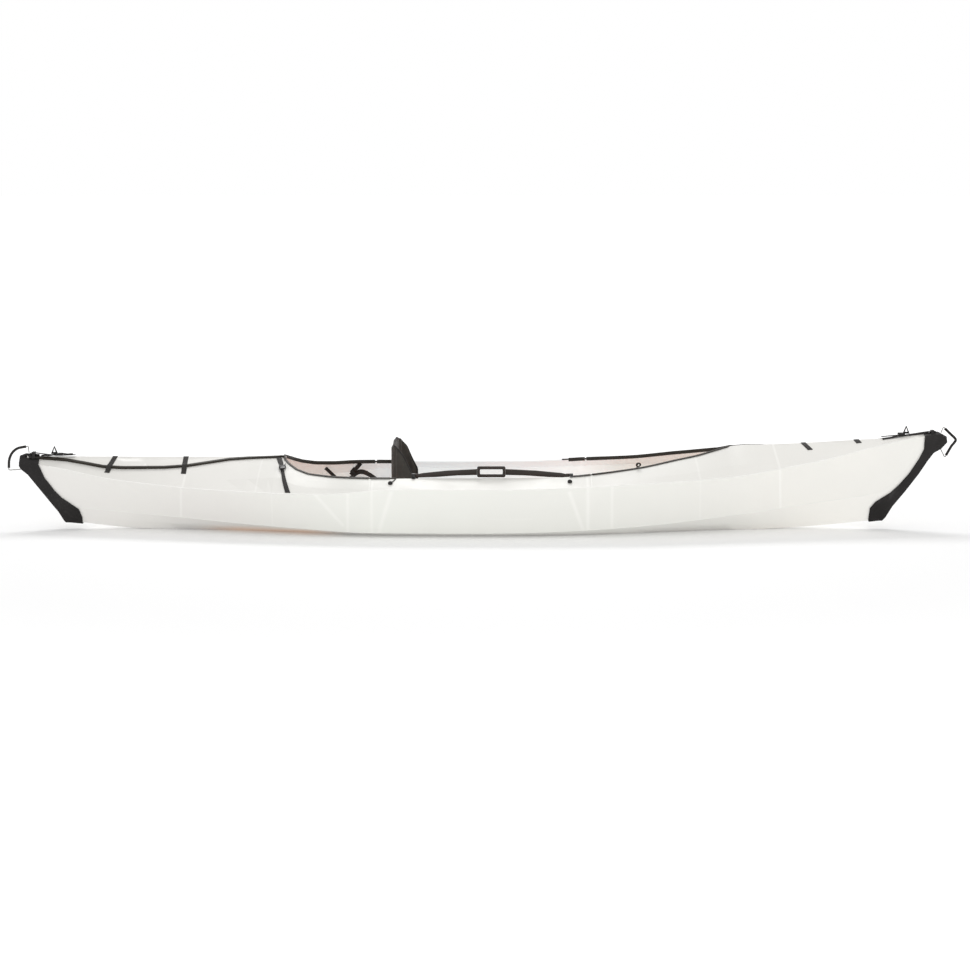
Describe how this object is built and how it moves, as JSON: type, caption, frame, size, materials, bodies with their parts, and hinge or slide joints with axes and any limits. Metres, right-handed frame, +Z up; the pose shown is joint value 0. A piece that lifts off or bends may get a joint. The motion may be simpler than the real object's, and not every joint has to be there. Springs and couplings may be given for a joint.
{
  "type": "folding kayak",
  "caption": "Folding kayak with a creased sheet hull, lapped decks, end caps, tension straps, carry rail and grips, seat with a folding back, and a sliding foot rest.",
  "frame": {"origin": "flat of the bottom under the middle of the hull's length, on the centre plane", "axes": "+X towards the bow, +Y towards port, +Z up"},
  "size_m": [3.7704, 0.7384, 0.4125],
  "materials": {
    "sheet": "satin translucent corrugated sheet",
    "cap": "moulded, satin",
    "trim": "extruded, satin",
    "webbing": "woven strap",
    "buckle": "moulded, satin",
    "rubber": "soft, matte",
    "cord": "braided cord",
    "seat": "padded fabric",
    "board": "satin sheet"
  },
  "bodies": {
    "hull": {"hull_bottom": "sheet", "hull_side_port": "sheet", "hull_side_starboard": "sheet", "rear_flap_port": "sheet", "rear_flap_starboard": "sheet", "side_deck_port": "sheet", "side_deck_starboard": "sheet", "fore_flap_port": "sheet", "fore_flap_starboard": "sheet", "bulkhead_rear": "sheet", "bulkhead_fore": "sheet", "stern_cap": "cap", "bow_cap": "cap", "rear_seam_trim": "trim", "fore_seam_trim": "trim", "rim_trim_rear_port": "trim", "rim_trim_rear_starboard": "trim", "rim_tip_rear_port": "trim", "rim_tip_rear_starboard": "trim", "rim_tip_fore_port": "trim", "rim_tip_fore_starboard": "trim", "rim_trim_fore_port": "trim", "rim_trim_fore_starboard": "trim", "rim_hook": "trim", "rear_strap_aft": "webbing", "rear_strap_fore": "webbing", "fore_strap_aft": "webbing", "fore_strap_fore": "webbing", "side_strap": "webbing", "stern_tension_strap": "webbing", "bow_tension_strap": "webbing", "back_strap_port": "webbing", "back_strap_starboard": "webbing", "side_strap_buckle": "buckle", "stern_buckle": "buckle", "bow_buckle": "buckle", "rail_pivot_rear": "buckle", "rail_pivot_fore": "buckle", "foot_rail_port": "buckle", "foot_rail_starboard": "buckle", "stud_rear": "rubber", "stud_fore": "rubber", "seat_pad": "seat", "floorboard": "board"},
    "stern_handle": {"stern_grip": "rubber", "stern_cord": "cord"},
    "bow_handle": {"bow_grip": "rubber", "bow_cord": "cord"},
    "stern_cam": {"stern_lever": "buckle", "stern_pull_loop": "webbing"},
    "bow_cam": {"bow_lever": "buckle", "bow_pull_loop": "webbing"},
    "side_cam": {"side_strap_lever": "buckle"},
    "carry_rail": {"carry_rail_rear": "trim", "carry_rail_fore": "trim", "carry_handle": "trim"},
    "backrest": {"seat_back": "seat"},
    "foot_rest": {"foot_bar": "buckle"}
  },
  "joints": [
    {"name": "stern_grip_swing", "type": "hinge", "parent": "hull", "child": "stern_handle", "pos_m": [-1.83507, 0, 0.23836], "axis": [0.4524, 0, 0.8918], "range_deg": [-75, 75]},
    {"name": "bow_grip_swing", "type": "hinge", "parent": "hull", "child": "bow_handle", "pos_m": [1.81754, 0, 0.31865], "axis": [-0.0011, 0, 1], "range_deg": [-75, 75]},
    {"name": "stern_cam_lift", "type": "hinge", "parent": "hull", "child": "stern_cam", "pos_m": [-1.6872, 0, 0.29901], "axis": [0, 1, 0], "range_deg": [0, 100]},
    {"name": "bow_cam_lift", "type": "hinge", "parent": "hull", "child": "bow_cam", "pos_m": [1.6652, 0, 0.37993], "axis": [0, -1, 0], "range_deg": [0, 100]},
    {"name": "side_cam_lift", "type": "hinge", "parent": "hull", "child": "side_cam", "pos_m": [-0.78481, -0.14457, 0.26726], "axis": [-0.9933, -0.1104, -0.0333], "range_deg": [0, 100]},
    {"name": "carry_rail_swing", "type": "hinge", "parent": "hull", "child": "carry_rail", "pos_m": [0.03, -0.2625, 0.246], "axis": [1, 0, 0], "range_deg": [0, 95]},
    {"name": "backrest_fold", "type": "hinge", "parent": "hull", "child": "backrest", "pos_m": [-0.342, 0, 0.0381], "axis": [0, 1, 0], "range_deg": [0, 40]},
    {"name": "foot_rest_slide", "type": "slide", "parent": "hull", "child": "foot_rest", "axis": [1, 0, 0], "range_m": [-0.09, 0.09]}
  ]
}
